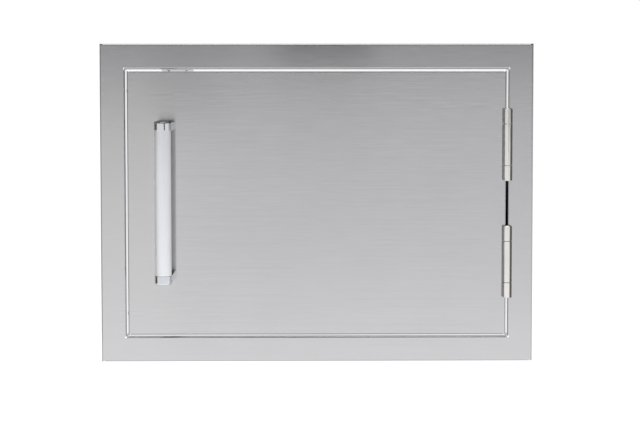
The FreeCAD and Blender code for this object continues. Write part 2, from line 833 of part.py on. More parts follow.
def make_pieces():
    """Every piece by name, in place."""
    frame_face = opening_half_width - leaf_thickness
    frame_screw = leaf_thickness + frame_sheet + backing_thickness
    door_face = door_half_width + leaf_thickness
    door_stack = leaf_thickness + door_sheet + liner_clearance + liner_sheet
    door_screw = door_stack + hinge_bar_thickness
    pieces = {
        "frame": make_frame(),
        "hinge_angle": make_hinge_angle(),
        "hinge_angle_rivets": make_angle_rivets(),
        "catch_bracket": make_catch_bracket(),
        "catch_bracket_screws": make_bracket_screws(),
        "catch_housing": make_catch_housing(),
        "catch_magnet": make_catch_magnet(),
        "catch_pole_plates": make_catch_poles(),
        "catch_screws": make_catch_screws(),
        "door_skin": make_door_skin(),
        "door_liner": make_door_liner(),
        "door_hinge_bar": make_hinge_bar(),
        "handle_stiffener": make_handle_stiffener(),
        "handle_tube": make_handle_tube(),
        "handle_lower_bracket": make_handle_bracket(-1),
        "handle_upper_bracket": make_handle_bracket(1),
        "handle_screws": make_handle_screws(),
        "handle_washers": make_handle_washers(),
        "strike_plate": make_strike_plate(),
        "strike_rivets": make_strike_rivets(),
    }
    for name, centre in zip(("lower_hinge", "upper_hinge"), hinge_centres):
        pieces[name + "_frame_leaf"] = make_frame_leaf(centre)
        pieces[name + "_door_leaf"] = make_door_leaf(centre)
        pieces[name + "_pin"] = make_pin(centre)
        pieces[name + "_backing_plate"] = make_backing_plate(centre)
        pieces[name + "_frame_screws"] = make_hinge_screws(centre, frame_face, 1, frame_screw)
        pieces[name + "_door_screws"] = make_hinge_screws(centre, door_face, -1, door_screw)
    return pieces


os.makedirs("parts", exist_ok=True)
for node, shape in make_pieces().items():
    shape.exportStep("parts/" + node + ".step")
    print(node, len(shape.Solids), round(shape.Volume, 1), shape.isValid())
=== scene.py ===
import math
from collections import namedtuple

import bmesh
import bpy
from mathutils import Matrix, Vector


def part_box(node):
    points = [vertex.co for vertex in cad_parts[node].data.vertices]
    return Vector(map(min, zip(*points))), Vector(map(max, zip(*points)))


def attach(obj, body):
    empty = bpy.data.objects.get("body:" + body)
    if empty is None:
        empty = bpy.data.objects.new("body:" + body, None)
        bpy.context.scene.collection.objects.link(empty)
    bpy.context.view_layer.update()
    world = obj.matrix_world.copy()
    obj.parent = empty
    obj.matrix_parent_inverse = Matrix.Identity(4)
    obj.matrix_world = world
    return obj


bl_info = {
    "name": "Island Access Door",
    "version": (1, 0, 0),
    "blender": (4, 5, 0),
    "location": "View3D > Sidebar > Island Door",
    "description": "Dresses a stainless access door for an outdoor kitchen island and lights it",
    "category": "Object",
}

# Metres and radians. +X is right, +Y goes into the island, +Z is up.
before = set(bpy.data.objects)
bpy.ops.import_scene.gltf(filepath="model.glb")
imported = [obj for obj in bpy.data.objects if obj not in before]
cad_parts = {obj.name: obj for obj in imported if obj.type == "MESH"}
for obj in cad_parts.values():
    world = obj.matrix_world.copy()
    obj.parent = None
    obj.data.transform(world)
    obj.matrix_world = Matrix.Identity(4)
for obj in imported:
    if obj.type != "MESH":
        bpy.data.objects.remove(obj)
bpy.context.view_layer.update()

frame_low, frame_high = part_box("frame")
door_low, door_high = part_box("door_skin")

# The backing plates lie on the sleeve's outside
sleeve_outside_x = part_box("lower_hinge_backing_plate")[0].x

hinge_names = ("lower_hinge", "upper_hinge")

# Marks to the metre in each finish, along X, Y and Z where there are three
handling_marks = 9.0
rolling_marks = (260.0, 260.0, 14.0)
mill_clouds = 14.0
tube_lines = (1400.0, 1400.0, 16.0)
tube_rubs = 26.0
plate_ripples = 90.0
plate_haze = 40.0
turning_marks = (300.0, 300.0, 2600.0)
polish_clouds = 60.0
zinc_crystals = 900.0
zinc_clouds = 120.0
paint_peel = 900.0
paint_dust = 70.0
plastic_sparks = 2600.0
plastic_clouds = 90.0
ferrite_pits = 1500.0
weld_tints = 220.0
floor_clouds = 2.0
cloth_folds = 30.0

# Middle of a noise's values, and the usual values between which a colour turns into another
noise_middle = 0.5
patch_range = (0.3, 0.7)

# Share of a full turn, which is how the shader takes a turn of its brushing
quarter_turn = 0.25

# How far the rounded surface agrees with the flat one where a hard edge starts and is full, and
# how many samples look for it
edge_range = (0.995, 0.90)
edge_samples = 6

# Sum of a direction's parts, each to the fourth power, where a fold starts and is full. It is 1
# on every flat side of the sheet.
fold_range = (0.97, 0.80)

# How far a surface faces up where the painted shade on top of bright plating starts and is full, and the
# blur that it adds
painted_top_shade_range = (0.1, 0.4)
painted_top_shade_blur = 0.2

# Blur that the ripple of bright plating adds for each metre of its depth
ripple_blur = 60.0

# Painted shade on the hinges: a dark band along both sides of each barrel that stands in for shade and dark
# reflection. How far a surface faces right where it starts and is full, on the right and the left sides, how
# strong the left side's is, how far in front of the door it is full, its blur, and how much of the metal's
# shine it takes
side_shade_right_range = (0.37, 0.51)
side_shade_left_range = (-0.63, -0.77)
side_shade_left_share = 0.6
side_shade_depth = 0.002
side_shade_blur = 0.3
side_shade_metal_loss = 0.5

# Weld beads: sides of the round, rings to a ripple, rings that round off an end, how far along
# that rounding the end is closed, and the share of each colour that heat tint keeps
bead_sides = 12
bead_rings_per_ripple = 6
bead_end_rings = 3
bead_end_start = 0.08
straw_tint = (0.86, 0.74, 0.58)

# Directions in which the dusk starts and is full: behind the camera, where its edge leans with
# height, and above the horizon
dusk_behind_range = (0.25, -0.35)
dusk_lean = 0.15
dusk_above_range = (-0.015, 0.055)

white = (1.0, 1.0, 1.0)
black = (0.0, 0.0, 0.0)

# Upright cards that only bright metal sees, as a mirror image. Start and end are the ends of the
# foot as (x, y), heights are those of the foot and the top, and colour is one of the studio's. A
# faded card is clear at the first place along X and full at the second.
Card = namedtuple("Card", "name start end heights colour glow fade", defaults=(0.0, None))
flags_x = -1.4
flags_back = 1.2
flags_foot, lower_border, upper_border, flags_top = -0.382, -0.212, 0.078, 0.318
stand_y = -3.0
cards_y = -3.1
window_y = -3.3
cards_top = 1.0
wall_start = -0.18
mirrored_cards = (
    Card("upper_flag", (flags_x, -0.40), (flags_x, flags_back), (upper_border, flags_top), "flag_colour"),
    Card("middle_flag", (flags_x, 0.0), (flags_x, flags_back), (lower_border, upper_border), "stand_colour"),
    Card("lower_flag", (flags_x, -0.24), (flags_x, flags_back), (flags_foot, lower_border), "flag_colour"),
    Card("stand", (0.95, stand_y), (1.9, stand_y), (-0.005, cards_top), "stand_colour"),
    Card("high_card", (-0.095, cards_y), (0.205, cards_y), (0.297, cards_top), "stand_colour"),
    Card("window", (-0.435, window_y), (-1.1, window_y), (-0.447, 0.06), "stand_colour", glow=1.12),
    Card(
        "wall", (wall_start, cards_y), (-0.50, cards_y), (0.09, 0.25), "stand_colour", glow=0.68,
        fade=(wall_start, -0.42)),
)


def with_suffix(suffix):
    """Names of the same piece on both hinges."""
    return [hinge + suffix for hinge in hinge_names]


# Sizes and colours that a user would change


def length(name, description, default):
    """Length property in metres."""
    return bpy.props.FloatProperty(
        name=name, description=description, default=default, min=0.0, precision=5, unit="LENGTH")


def angle(name, description, degrees):
    """Angle property, given in degrees."""
    return bpy.props.FloatProperty(
        name=name, description=description, default=math.radians(degrees), subtype="ANGLE")


def share(name, description, default):
    """Property between nothing and all."""
    return bpy.props.FloatProperty(
        name=name, description=description, default=default, min=0.0, max=1.0, subtype="FACTOR")


def colour(name, description, default):
    """Linear colour property."""
    return bpy.props.FloatVectorProperty(
        name=name, description=description, default=default, min=0.0, max=1.0, subtype="COLOR")


def point(name, description, default):
    """Place property in metres."""
    return bpy.props.FloatVectorProperty(
        name=name, description=description, default=default, subtype="TRANSLATION", unit="LENGTH")


class SheetFinish(bpy.types.PropertyGroup):
    """Brushed sheet steel of the frame and the door."""

    colour: colour("Colour", "Colour of the brushed steel", (0.526, 0.521, 0.524))
    liner_colour: colour("Liner colour", "Colour of the unbrushed liner and channel", (0.57, 0.565, 0.55))
    liner_roughness: share("Liner roughness", "Blur of the unbrushed liner and channel", 0.30)
    roughness: share("Roughness", "Blur in the brushed lines", 0.145)
    line_blur: share("Line blur", "How much the blur changes from line to line", 0.03)
    handling_blur: share("Handling blur", "How much the blur changes where the sheet was handled", 0.04)
    one_way: share("One-way blur", "How much more the brushing blurs across its lines", 0.92)
    lands: share("Lands", "Share of the surface that the brushing left smooth", 0.22)
    land_roughness: share("Land roughness", "Blur of the surface between the lines", 0.09)
    grain_length: length("Grain length", "Usual length of a brushed line", 0.045)
    grain_width: length("Grain width", "Usual width of a brushed line", 0.0007)
    grain_tilt: share("Grain tilt", "How steep the sides of the brushed lines are", 0.035)
    crown: angle("Crown", "How far the frame's rails lean back from the middle", 0.3)
    # Painted shade: how much darker every fold is drawn, standing in for the dark that the bends reflect
    painted_fold_shade: share("Fold shade", "How much darker the steel is where it was folded", 0.25)
    streak_length: length("Streak length", "Length of the broad streaks in the brushing", 0.28)
    streak_width: length("Streak width", "Width of the broad streaks in the brushing", 0.0016)
    streak_contrast: share("Streak contrast", "How much the streaks change the colour", 0.02)


class FittingFinish(bpy.types.PropertyGroup):
    """Handle, hinges, catch and fasteners."""

    tube_colour: colour("Tube colour", "Satin steel of the handle's tube", (0.90, 0.905, 0.92))
    chrome_colour: colour("Chrome colour", "Bright plating of the handle's brackets", (0.61, 0.625, 0.65))
    hinge_colour: colour("Hinge colour", "Polished steel of the hinges", (0.72, 0.71, 0.69))
    screw_colour: colour("Screw colour", "Steel of the screws, pins and rivets", (0.62, 0.62, 0.61))
    zinc_colour: colour("Zinc colour", "Zinc plate of the inner plates and washers", (0.60, 0.61, 0.62))
    bright_colour: colour("Bright plate colour", "Bright zinc of the catch's bracket", (0.86, 0.87, 0.88))
    # Near-black paint of the angle, partly its own colour and partly painted shade in the gap between the
    # hinges
    angle_paint_and_shade_colour: colour("Paint colour", "Gloss paint of the angle between the hinges", (0.12, 0.12, 0.122))
    plastic_colour: colour("Plastic colour", "Moulded case of the catch", (0.80, 0.80, 0.78))
    ferrite_colour: colour("Magnet colour", "Sintered magnet", (0.055, 0.055, 0.058))
    # Painted shade on top of the handle's brackets, standing in for the dark that they mirror above
    painted_top_shade_colour: colour("Film colour", "Dull film on top of the handle's brackets", (0.21, 0.21, 0.21))
    # Painted shade and dark reflection along both sides of the hinge barrels
    side_shade_colour: colour("Soil colour", "Grime along both sides of the hinges", (0.12, 0.095, 0.07))
    edge_radius: length("Edge radius", "Radius at which hard edges catch the light", 0.0003)
    chrome_ripple: length("Chrome ripple", "Depth of the ripple under the bright plating", 0.0006)
    zinc_ripple: length("Zinc ripple", "Depth of the ripple under the bright zinc", 0.00005)
    tube_roughness: share("Tube roughness", "Blur of the handle's tube", 0.36)
    plate_roughness: share("Plate roughness", "Blur of bright plating without its ripple", 0.02)
    zinc_roughness: share("Zinc roughness", "Blur of the zinc plate", 0.32)
    paint_roughness: share("Paint roughness", "Blur of the angle's paint", 0.14)
    plastic_roughness: share("Plastic roughness", "Blur of the catch's case", 0.50)
    ferrite_roughness: share("Magnet roughness", "Blur of the magnet", 0.38)
    hinge_roughness: share("Hinge roughness", "Blur of the hinges' leaves", 0.10)
    pin_roughness: share("Pin roughness", "Blur of the hinge pins", 0.18)
    hinge_screw_roughness: share("Hinge screw roughness", "Blur of the hinges' screws", 0.2)
    handle_screw_roughness: share("Handle screw roughness", "Blur of the handle's screws", 0.24)
    rivet_roughness: share("Rivet roughness", "Blur of the rivets and the catch's screws", 0.26)


class WeldBeads(bpy.types.PropertyGroup):
    """Beads along the sleeve's four corners."""

    roughness: share("Roughness", "Blur of the bead", 0.28)
    radius: length("Bead radius", "Half of the bead's width", 0.0016)
    ripple_pitch: length("Ripple pitch", "Distance between two ripples of the bead", 0.0011)
    ripple_height: length("Ripple height", "How far a ripple stands out", 0.00014)
    sink: share("Sink", "Share of its radius by which the bead lies inside the corner", 0.45)
    start: length("Start", "Distance from the wall's outer surface to the bead", 0.002)
    end_gap: length("End gap", "Distance from the bead to the sleeve's rear edge", 0.001)


class StudioSettings(bpy.types.PropertyGroup):
    """Camera, lamp, floor and surroundings."""

    camera_place: point("Camera place", "Where the camera stands", (-0.0293, -2.9655, 0.1784))
    camera_turn: angle("Camera turn", "How far the camera is turned to the right", 0.658)
    camera_dip: angle("Camera dip", "How far the camera looks down", 3.721)
    camera_roll: angle("Camera roll", "How far the camera leans", -0.041)
    lens: bpy.props.FloatProperty(
        name="Lens", description="Focal length in millimetres", default=106.87, min=1.0, unit="CAMERA")
    lamp_place: point("Lamp place", "Where the overhead lamp hangs", (0.0, -0.9, 2.6))
    lamp_width: length("Lamp width", "Width of the overhead lamp", 2.4)
    lamp_depth: length("Lamp depth", "Depth of the overhead lamp", 1.8)
    lamp_power: bpy.props.FloatProperty(
        name="Lamp power", description="Power of the overhead lamp in watts", default=34.0, min=0.0,
        unit="POWER")
    floor_drop: length("Floor drop", "Distance from the frame's foot down to the floor", 0.20)
    floor_reach: length("Floor reach", "Half of the floor's side", 60.0)
    floor_colour: colour("Floor colour", "Colour of the floor under the lamp", (0.88, 0.88, 0.88))
    floor_lift: share("Floor lift", "Light that the floor adds of itself where it is seen", 0.48)
    flag_colour: colour("Flag colour", "Brown flags to the left of the door", (0.24, 0.18, 0.105))
    stand_colour: colour("Stand colour", "Dark flag, stand and cards round the door", (0.03, 0.03, 0.032))
    room_colour: colour("Room colour", "Lit room as matt surfaces see it", (0.62, 0.63, 0.65))
    dusk_colour: colour("Dusk colour", "Darker side of the room behind the camera", (0.20, 0.205, 0.22))


# Shader arithmetic


class Term:
    """A socket's value in an expression. Arithmetic on it adds the nodes that work it out."""

    def __init__(self, shader, socket):
        self.shader = shader
        self.socket = socket

    def with_other(self, operation, other, swapped=False):
        """Math node on two numbers, or Vector Math where either is a vector or a colour."""
        pair = (other, self) if swapped else (self, other)
        terms = [term for term in pair if isinstance(term, Term)]
        is_number = all(term.socket.type == "VALUE" for term in terms)
        kind = "ShaderNodeMath" if is_number else "ShaderNodeVectorMath"
        return self.shader.node(kind, {"operation": operation}, dict(enumerate(pair)))

    def __add__(self, other):
        return self.with_other("ADD", other)

    def __radd__(self, other):
        return self.with_other("ADD", other, swapped=True)

    def __sub__(self, other):
        return self.with_other("SUBTRACT", other)

    def __rsub__(self, other):
        return self.with_other("SUBTRACT", other, swapped=True)

    def __mul__(self, other):
        return self.with_other("MULTIPLY", other)

    def __rmul__(self, other):
        return self.with_other("MULTIPLY", other, swapped=True)

    def __truediv__(self, other):
        return self.with_other("DIVIDE", other)

    def __pow__(self, other):
        return self.with_other("POWER", other)

    def __abs__(self):
        return self.shader.node("ShaderNodeMath", {"operation": "ABSOLUTE"}, {0: self})

    def cross(self, other):
        """Vector square to both."""
        return self.with_other("CROSS_PRODUCT", other)

    def dot(self, other):
        """How far two unit vectors agree."""
        settings = {"operation": "DOT_PRODUCT"}
        return self.shader.node("ShaderNodeVectorMath", settings, {0: self, 1: other}, "Value")

    def split(self):
        """The vector's three parts."""
        return [self.shader.node("ShaderNodeSeparateXYZ", {}, {0: self}, axis) for axis in "XYZ"]

    def swing(self, width, middle=noise_middle):
        """A noise as a change either way, which spans the width as the noise goes from 0 to 1."""
        return (self - middle) * width


class Shader:
    """Node tree of one material or world."""

    def __init__(self, owner):
        owner.use_nodes = True
        self.tree = owner.node_tree
        self.tree.nodes.clear()

    def node(self, kind, settings=None, values=None, output=0):
        """Adds a node, makes its settings, feeds its sockets and gives one of its outputs."""
        made = self.tree.nodes.new(kind)
        for name, value in (settings or {}).items():
            setattr(made, name, value)
        for name, value in (values or {}).items():
            self.feed(made.inputs[name], value)
        return Term(self, made.outputs[output]) if made.outputs else made

    def feed(self, socket, value):
        """Links a term to a socket, or sets a plain value on it."""
        if isinstance(value, Term):
            self.tree.links.new(value.socket, socket)
        elif socket.type == "RGBA":
            socket.default_value = (*value[:3], 1.0)
        elif socket.type == "VECTOR" and isinstance(value, (int, float)):
            socket.default_value = (value, value, value)
        else:
            socket.default_value = value

    def mix(self, factor, first, second):
        """Colour between two others. The node's colour sockets go by number, because its number
        and vector sockets have the same names."""
        return self.node("ShaderNodeMix", {"data_type": "RGBA"}, {0: factor, 6: first, 7: second}, 2)

    def patches(self, noise, first, second, value_range=patch_range):
        """Colour that goes from the first to the second as the noise rises through a range."""
        return self.mix(self.between(noise, *value_range), first, second)

    def vector(self, x, y, z=0.0):
        """Vector from three numbers or terms."""
        return self.node("ShaderNodeCombineXYZ", {}, {0: x, 1: y, 2: z})

    def noise(self, place, detail=2.0, roughness=0.5, dimensions="3D"):
        """Smooth random value between 0 and 1, whose cells are one unit of place across."""
        values = {"Vector": place, "Scale": 1.0, "Detail": detail, "Roughness": roughness}
        return self.node("ShaderNodeTexNoise", {"noise_dimensions": dimensions}, values)

    def between(self, value, low, high):
        """Smooth step from 0 at low to 1 at high."""
        settings = {"interpolation_type": "SMOOTHSTEP"}
        return self.node(
            "ShaderNodeMapRange", settings, {"Value": value, "From Min": low, "From Max": high})

    def place(self):
        """Point on the piece, in the piece's own frame."""
        return self.node("ShaderNodeTexCoord", output="Object")

    def facing(self):
        """Direction that the surface faces, in the piece's own frame."""
        return self.node("ShaderNodeTexCoord", output="Normal")

    def turned_out(self, direction):
        """Direction in the piece's own frame as the shader needs it."""
        settings = {"vector_type": "NORMAL", "convert_from": "OBJECT", "convert_to": "WORLD"}
        return self.node("ShaderNodeVectorTransform", settings, {0: direction})

    def rounded(self, radius):
        """Direction that the surface would face if its hard edges were round."""
        return self.node("ShaderNodeBevel", {"samples": edge_samples}, {"Radius": radius})

    def edges(self, radius):
        """1 near hard edges and 0 on open surfaces."""
        flat = self.node("ShaderNodeNewGeometry", output="Normal")
        return self.between(self.rounded(radius).dot(flat), *edge_range)

    def bumps(self, height, depth, strength, smooth=None):
        """Direction of a surface that stands out by depth where height is 1. Smooth is the
        direction that it starts from, if not the mesh's own."""
        values = {"Strength": strength, "Distance": depth, "Height": height}
        if smooth:
            values["Normal"] = smooth
        return self.node("ShaderNodeBump", {}, values)

    def ray(self, kind):
        """1 where the surface is seen by this kind of ray."""
        return self.node("ShaderNodeLightPath", output=kind)

    def metal(self, values, second=None, second_share=0.0):
        """Metal surface as the material's output, mixed with a second one if there is one."""
        surface = self.node("ShaderNodeBsdfPrincipled", {}, {"Metallic": 1.0, **values})
        if second:
            other = self.node("ShaderNodeBsdfPrincipled", {}, {"Metallic": 1.0, **second})
            surface = self.node("ShaderNodeMixShader", {}, {0: second_share, 1: surface, 2: other})
        self.node("ShaderNodeOutputMaterial", {}, {"Surface": surface})

    def coated(self, values):
        """Painted, moulded or woven surface as the material's output."""
        surface = self.node("ShaderNodeBsdfPrincipled", {}, values)
        self.node("ShaderNodeOutputMaterial", {}, {"Surface": surface})


def new_material(name):
    """Empty material and the shader that fills it."""
    material = bpy.data.materials.new(name)
    return material, Shader(material)


def toned(base, factor, lift=0.0):
    """Colour made darker or lighter by a factor, then lifted towards grey."""
    return [part * factor + lift for part in base]


# Finishes


def brushing(shader, along, across, detail=2.0):
    """Noise over places along and across the brushed lines, each in its own unit."""
    return shader.noise(shader.vector(along, across), detail, roughness=0.6, dimensions="2D")


def sheet_steel(shader, base, sheet, streak, flatness):
    """Colour of brushed sheet: streaked along its lines, and darker at its folds as painted shade and dark
    reflection.
    """
    dark = toned(base, 1.0 - sheet.streak_contrast)
    light = toned(base, 1.0 + sheet.streak_contrast)
    # Painted shade on the folds
    folded = shader.between(flatness, *fold_range)
    return shader.mix(
        folded, shader.patches(streak, dark, light), toned(base, 1.0 - sheet.painted_fold_shade))


def brushed_sheet(name, base, sheet, crown=0.0):
    """Sheet brushed along X before it was folded, so that the lines run round its folds.
    A crowned sheet leans back a little towards its top and its foot."""
    material, shader = new_material(name)
    x, y, z = shader.place().split()
    facing = shader.facing()
    facing_x, facing_y, facing_z = facing.split()
    along = x + y * abs(facing_x)
    across = z + y * abs(facing_z)
    line = brushing(shader, along / sheet.grain_length, across / sheet.grain_width)
    streak = brushing(shader, along / sheet.streak_length, across / sheet.streak_width, detail=3.0)
    handled = shader.noise(shader.place() * handling_marks, detail=4.0, roughness=0.55)
    flatness = facing_x ** 4.0 + facing_y ** 4.0 + facing_z ** 4.0
    steel = sheet_steel(shader, base, sheet, streak, flatness)
    grain_way = shader.vector(1.0 - abs(facing_x), abs(facing_x))
    grooves = facing.cross(grain_way) * line.swing(sheet.grain_tilt)
    lean = shader.vector(0.0, 0.0, z * (math.tan(crown) / frame_high.z))
    lines = {
        "Base Color": steel,
        "Roughness": sheet.roughness + handled.swing(sheet.handling_blur) + line.swing(sheet.line_blur),
        "Anisotropic": sheet.one_way,
        "Anisotropic Rotation": quarter_turn,
        "Normal": shader.turned_out(facing + grooves + lean),
    }
    lands = {
        "Base Color": steel,
        "Roughness": sheet.land_roughness,
        "Normal": shader.turned_out(facing + lean),
    }
    shader.metal(lines, lands, sheet.lands)
    return material


def rolled_sheet(name, base, roughness):
    """Unbrushed sheet as it leaves the mill: dull, with soft rolling marks."""
    material, shader = new_material(name)
    place = shader.place()
    rolled = shader.noise(place * rolling_marks, detail=3.0)
    cloud = shader.noise(place * mill_clouds, detail=4.0, roughness=0.6)
    clouded = toned(base, 0.93)
    shader.metal({
        "Base Color": shader.patches(cloud, clouded, base),
        "Roughness": roughness + rolled.swing(0.14) + cloud.swing(0.10),
        "Normal": shader.bumps(rolled, depth=0.0002, strength=0.12),
    })
    return material


def satin_tube(name, base, roughness):
    """Tube polished along its length."""
    material, shader = new_material(name)
    place = shader.place()
    line = shader.noise(place * tube_lines)
    rubbed = shader.noise(place * tube_rubs, detail=3.0)
    facing = shader.facing()
    tube_way = (0.0, 0.0, 1.0)
    groove_tilt = 0.10
    grooves = facing.cross(tube_way) * line.swing(groove_tilt)
    handled = toned(base, 0.97)
    shader.metal({
        "Base Color": shader.patches(rubbed, handled, base),
        "Roughness": roughness + rubbed.swing(0.04),
        "Anisotropic": 1.0,
        "Normal": shader.turned_out(facing + grooves),
    })
    return material


def bright_plate(name, base, roughness, ripple_depth, painted_top_shade_colour=None):
    """Chrome or zinc plate with the faint ripple of the metal under it. Where a colour for it is given,
    painted shade darkens and blurs what faces up."""
    material, shader = new_material(name)
    place = shader.place()
    ripple = shader.noise(place * plate_ripples)
    haze = shader.noise(place * plate_haze, detail=4.0, roughness=0.6)
    haze_blur = shader.between(haze, 0.45, 0.75) * 0.05
    hazed = toned(base, 0.96)
    plate = shader.patches(haze, base, hazed, (0.35, 0.7))
    painted_top_shade = 0.0
    # Painted shade on what faces up
    if painted_top_shade_colour:
        facing_up = shader.facing().split()[2]
        painted_top_shade = shader.between(facing_up, *painted_top_shade_range)
        plate = shader.mix(painted_top_shade, plate, painted_top_shade_colour)
    blur = roughness + ripple_depth * ripple_blur
    shader.metal({
        "Base Color": plate,
        "Roughness": blur + haze_blur + painted_top_shade * painted_top_shade_blur,
        "Normal": shader.bumps(ripple, depth=ripple_depth, strength=0.06),
    })
    return material


def painted_side_shade(shader, cloud):
    """1 along both sides of what stands proud of the door, where shade and dark reflection are painted on.
    """
    facing_right = shader.facing().split()[0] + cloud.swing(0.1)
    depth = shader.place().split()[1]
    right = shader.between(facing_right, *side_shade_right_range)
    left = shader.between(facing_right, *side_shade_left_range) * side_shade_left_share
    return (right + left) * shader.between(depth, door_low.y, door_low.y - side_shade_depth)


def polished_part(name, base, roughness, edge_radius, side_shade_colour=None):
    """Machined or pressed metal, with turning marks, edges rubbed bright and, where a colour for it is
    given, painted shade and dark reflection along the sides."""
    material, shader = new_material(name)
    place = shader.place()
    mark = shader.noise(place * turning_marks)
    cloud = shader.noise(place * polish_clouds, detail=3.0)
    edge = shader.edges(edge_radius)
    dull = toned(base, 0.93)
    bright = [min(1.0, part) for part in toned(base, 1.12)]
    metal = shader.patches(cloud, dull, base)
    side_shade = 0.0
    if side_shade_colour:
        # Painted shade and dark reflection on both sides of the barrels
        side_shade = painted_side_shade(shader, cloud)
        metal = shader.mix(side_shade, metal, side_shade_colour)
    blur = roughness + cloud.swing(0.10) + mark.swing(0.06)
    rubbed_share, rubbed_shine = edge * 0.6, edge * 0.05
    shader.metal({
        "Base Color": shader.mix(rubbed_share, metal, bright),
        "Metallic": 1.0 - side_shade * side_shade_metal_loss,
        "Roughness": blur - rubbed_shine + side_shade * side_shade_blur,
        "Normal": shader.bumps(mark, depth=0.0001, strength=0.10, smooth=shader.rounded(edge_radius)),
    })
    return material


def zinc_plated(name, base, roughness):
    """Zinc plate with its fine crystals."""
    material, shader = new_material(name)
    place = shader.place()
    crystal = shader.node(
        "ShaderNodeTexVoronoi", {"feature": "F1"}, {"Vector": place, "Scale": zinc_crystals}, "Distance")
    cloud = shader.noise(place * zinc_clouds, detail=3.0)
    clouded = toned(base, 0.86)
    shader.metal({
        "Base Color": shader.patches(cloud, clouded, base),
        "Roughness": roughness + crystal.swing(0.12, middle=0.4) + cloud.swing(0.12),
        "Normal": shader.bumps(crystal, depth=0.0001, strength=0.12),
    })
    return material


def gloss_paint(name, base, roughness, edge_radius):
    """Dark gloss paint with orange peel and a little dust, thin on the edges."""
    material, shader = new_material(name)
    place = shader.place()
    peel = shader.noise(place * paint_peel)
    dust = shader.noise(place * paint_dust, detail=5.0, roughness=0.65)
    edge = shader.edges(edge_radius)
    dusty = toned(base, 2.2, lift=0.012)
    worn = toned(base, 1.0, lift=0.09)
    dust_share = shader.between(dust, 0.5, 0.8) * 0.5
    worn_share = edge * 0.5
    shader.coated({
        "Base Color": shader.mix(worn_share, shader.mix(dust_share, base, dusty), worn),
        "Roughness": roughness + dust.swing(0.1),
        "Normal": shader.bumps(peel, depth=0.0001, strength=0.2),
    })
    return material


def moulded_plastic(name, base, roughness):
    """Pale moulded plastic with a fine spark texture."""
    material, shader = new_material(name)
    place = shader.place()
    spark = shader.noise(place * plastic_sparks)
    cloud = shader.noise(place * plastic_clouds, detail=3.0)
    grubby = toned(base, 0.88)
    shader.coated({
        "Base Color": shader.patches(cloud, base, grubby, (0.45, 0.75)),
        "Roughness": roughness + cloud.swing(0.16),
        "Normal": shader.bumps(spark, depth=0.00008, strength=0.2),
    })
    return material


def ferrite(name, base, roughness):
    """Ground ferrite: dark, slightly glossy, with pits."""
    material, shader = new_material(name)
    pit = shader.noise(shader.place() * ferrite_pits, detail=3.0)
    pale = toned(base, 1.7)
    shader.coated({
        "Base Color": shader.patches(pit, base, pale, (0.4, 0.7)),
        "Roughness": roughness + pit.swing(0.3),
        "Normal": shader.bumps(pit, depth=0.0001, strength=0.3),
    })
    return material


def weld_metal(name, base, roughness):
    """Weld bead with faint heat tint between its ripples."""
    material, shader = new_material(name)
    tint = shader.noise(shader.place() * weld_tints, detail=3.0)
    straw = [part * kept for part, kept in zip(base, straw_tint)]
    shader.metal({
        "Base Color": shader.patches(tint, base, straw, (0.5, 0.75)),
        "Roughness": roughness + tint.swing(0.2),
    })
    return material


# Pieces


def dress(names, material):
    """Gives packed pieces their finish."""
    for name in names:
        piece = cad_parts[name]
        piece.data.materials.clear()
        piece.data.materials.append(material)


def new_object(name, data):
    """Object in the scene that holds a mesh, a lamp or a camera."""
    made = bpy.data.objects.new(name, data)
    bpy.context.scene.collection.objects.link(made)
    return made


def new_piece(name, work, material, body):
    """Turns a bmesh into a shown piece that rides on a body."""
    mesh = bpy.data.meshes.new(name)
    bmesh.ops.recalc_face_normals(work, faces=work.faces)
    work.to_mesh(mesh)
    work.free()
    mesh.materials.append(material)
    for face in mesh.polygons:
        face.use_smooth = True
    piece = new_object(name, mesh)
    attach(piece, body)


class FrameOperator(bpy.types.Operator):
    """Finishes the frame with its angle between the hinges"""

    bl_idname = "island_door.frame"
    bl_label = "Frame"

    def execute(self, context):
        sheet = context.scene.island_door_sheet
        fittings = context.scene.island_door_fittings
        # The angle's dark paint also stands in for the shade in the gap between the hinges
        paint = gloss_paint(
            "angle_paint", fittings.angle_paint_and_shade_colour, fittings.paint_roughness, fittings.edge_radius)
        dress(["frame"], brushed_sheet("frame_brushed", sheet.colour, sheet, sheet.crown))
        dress(["hinge_angle"], paint)
        return {"FINISHED"}


class DoorOperator(bpy.types.Operator):
    """Finishes the door's skin, liner, channel and hinge bar"""

    bl_idname = "island_door.door"
    bl_label = "Door"

    def execute(self, context):
        sheet = context.scene.island_door_sheet
        fittings = context.scene.island_door_fittings
        rolled = rolled_sheet("liner_rolled", sheet.liner_colour, sheet.liner_roughness)
        zinc = zinc_plated("bar_zinc", fittings.zinc_colour, fittings.zinc_roughness)
        dress(["door_skin"], brushed_sheet("door_brushed", sheet.colour, sheet))
        dress(["door_liner", "handle_stiffener"], rolled)
        dress(["door_hinge_bar"], zinc)
        return {"FINISHED"}


class HandleOperator(bpy.types.Operator):
    """Finishes the handle's tube, brackets, screws and washers"""

    bl_idname = "island_door.handle"
    bl_label = "Handle"

    def execute(self, context):
        fittings = context.scene.island_door_fittings
        satin = satin_tube("handle_satin", fittings.tube_colour, fittings.tube_roughness)
        # The brackets get painted shade on top
        chrome = bright_plate(
            "handle_chrome", fittings.chrome_colour, fittings.plate_roughness, fittings.chrome_ripple,
            fittings.painted_top_shade_colour)
        screw = polished_part(
            "handle_screw_steel", fittings.screw_colour, fittings.handle_screw_roughness,
            fittings.edge_radius)
        zinc = zinc_plated("washer_zinc", fittings.zinc_colour, fittings.zinc_roughness)
        dress(["handle_tube"], satin)
        dress(["handle_lower_bracket", "handle_upper_bracket"], chrome)
        dress(["handle_washers"], zinc)
        dress(["handle_screws"], screw)
        return {"FINISHED"}


